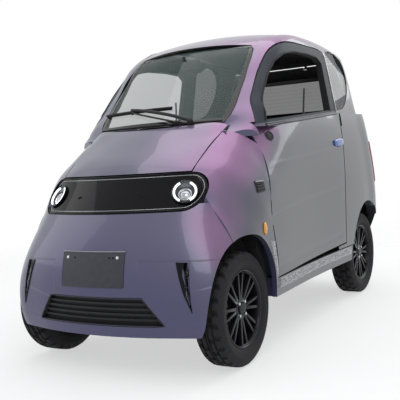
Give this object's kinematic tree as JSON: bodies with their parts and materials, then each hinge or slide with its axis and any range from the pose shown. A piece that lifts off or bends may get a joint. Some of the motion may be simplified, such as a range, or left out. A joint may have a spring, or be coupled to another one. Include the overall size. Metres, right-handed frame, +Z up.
{
  "type": "electric microcar",
  "caption": "Small one-box electric city car with bowed windscreen, light bar nose, hinged doors, bonnet and tailgate, steered front wheels.",
  "frame": {"origin": "on the ground under the middle of the car", "axes": "+Z up, the nose points to -Y, +X is the left side of the car"},
  "size_m": [1.2616, 2.4957, 1.676],
  "materials": {
    "body_paint": "colour-shift metallic, clear coat",
    "trim_black": "grained black plastic",
    "gloss_black": "piano black",
    "frame_grey": "satin dark grey",
    "glass": "clear tinted glass",
    "lamp": "clear lens over chrome",
    "tail_red": "red lens",
    "plate": "dark grey holder",
    "blue_film": "blue protective film",
    "alloy": "gloss black alloy",
    "tyre": "black rubber",
    "steel": "black painted steel",
    "seat": "dark woven cloth",
    "dash": "soft black plastic",
    "floor": "underbody coating"
  },
  "bodies": {
    "shell": {"front_bumper": "body_paint", "lower_grille": "trim_black", "light_bar": "gloss_black", "headlamp_left": "lamp", "headlamp_right": "lamp", "fender_left": "body_paint", "fender_right": "body_paint", "side_frame_left": "body_paint", "side_frame_right": "body_paint", "rear_quarter_left": "body_paint", "rear_quarter_right": "body_paint", "roof_panel": "body_paint", "windscreen": "glass", "quarter_glass_left": "glass", "quarter_glass_right": "glass", "rear_bumper": "body_paint", "tail_lamps": "tail_red", "sill_left": "body_paint", "sill_right": "body_paint", "number_plate": "plate", "floor_pan": "floor", "dashboard": "dash", "seat_left": "seat", "seat_right": "seat", "rear_bench": "seat", "front_subframe": "steel", "rear_axle": "steel"},
    "door_left": {"door_left": "body_paint", "door_handle_left": "blue_film"},
    "door_right": {"door_right": "body_paint", "door_handle_right": "blue_film"},
    "bonnet": {"bonnet": "body_paint"},
    "tailgate": {"tailgate": "body_paint", "tailgate_glass": "glass"},
    "steering_wheel": {"steering_wheel": "dash"},
    "knuckle_left": {"knuckle_left": "steel"},
    "wheel_front_left": {"tyre_front_left": "tyre", "rim_front_left": "alloy"},
    "wheel_rear_left": {"tyre_rear_left": "tyre", "rim_rear_left": "alloy"},
    "knuckle_right": {"knuckle_right": "steel"},
    "wheel_front_right": {"tyre_front_right": "tyre", "rim_front_right": "alloy"},
    "wheel_rear_right": {"tyre_rear_right": "tyre", "rim_rear_right": "alloy"}
  },
  "joints": [
    {"name": "steer_left", "type": "hinge", "parent": "shell", "child": "knuckle_left", "pos_m": [0.475, -0.852, 0.265], "axis": [0, 0, 1], "range_deg": [-25, 25]},
    {"name": "wheel_front_left_spin", "type": "hinge", "parent": "knuckle_left", "child": "wheel_front_left", "pos_m": [0.51, -0.852, 0.265], "axis": [1, 0, 0], "continuous": true},
    {"name": "wheel_rear_left_spin", "type": "hinge", "parent": "shell", "child": "wheel_rear_left", "pos_m": [0.51, 0.884, 0.265], "axis": [1, 0, 0], "continuous": true},
    {"name": "door_left_hinge", "type": "hinge", "parent": "shell", "child": "door_left", "pos_m": [0.617, -0.6, 0.7], "axis": [0, 0, -1], "range_deg": [0, 60]},
    {"name": "steer_right", "type": "hinge", "parent": "shell", "child": "knuckle_right", "pos_m": [-0.475, -0.852, 0.265], "axis": [0, 0, 1], "range_deg": [-25, 25]},
    {"name": "wheel_front_right_spin", "type": "hinge", "parent": "knuckle_right", "child": "wheel_front_right", "pos_m": [-0.51, -0.852, 0.265], "axis": [1, 0, 0], "continuous": true},
    {"name": "wheel_rear_right_spin", "type": "hinge", "parent": "shell", "child": "wheel_rear_right", "pos_m": [-0.51, 0.884, 0.265], "axis": [1, 0, 0], "continuous": true},
    {"name": "door_right_hinge", "type": "hinge", "parent": "shell", "child": "door_right", "pos_m": [-0.617, -0.6, 0.7], "axis": [0, 0, 1], "range_deg": [0, 60]},
    {"name": "steering_wheel_turn", "type": "hinge", "parent": "shell", "child": "steering_wheel", "pos_m": [0.24, -0.235, 0.985], "axis": [0, 0.8829, 0.4695], "range_deg": [-350, 350]},
    {"name": "bonnet_hinge", "type": "hinge", "parent": "shell", "child": "bonnet", "pos_m": [0, -0.64, 1.085], "axis": [-1, 0, 0], "range_deg": [0, 10]},
    {"name": "tailgate_hinge", "type": "hinge", "parent": "shell", "child": "tailgate", "pos_m": [0, 1.15, 1.538], "axis": [1, 0, 0], "range_deg": [0, 36]}
  ],
  "couplings": [
    {"joint": "steer_right", "follows": "steer_left", "ratio": 1},
    {"joint": "steering_wheel_turn", "follows": "steer_left", "ratio": 14}
  ]
}
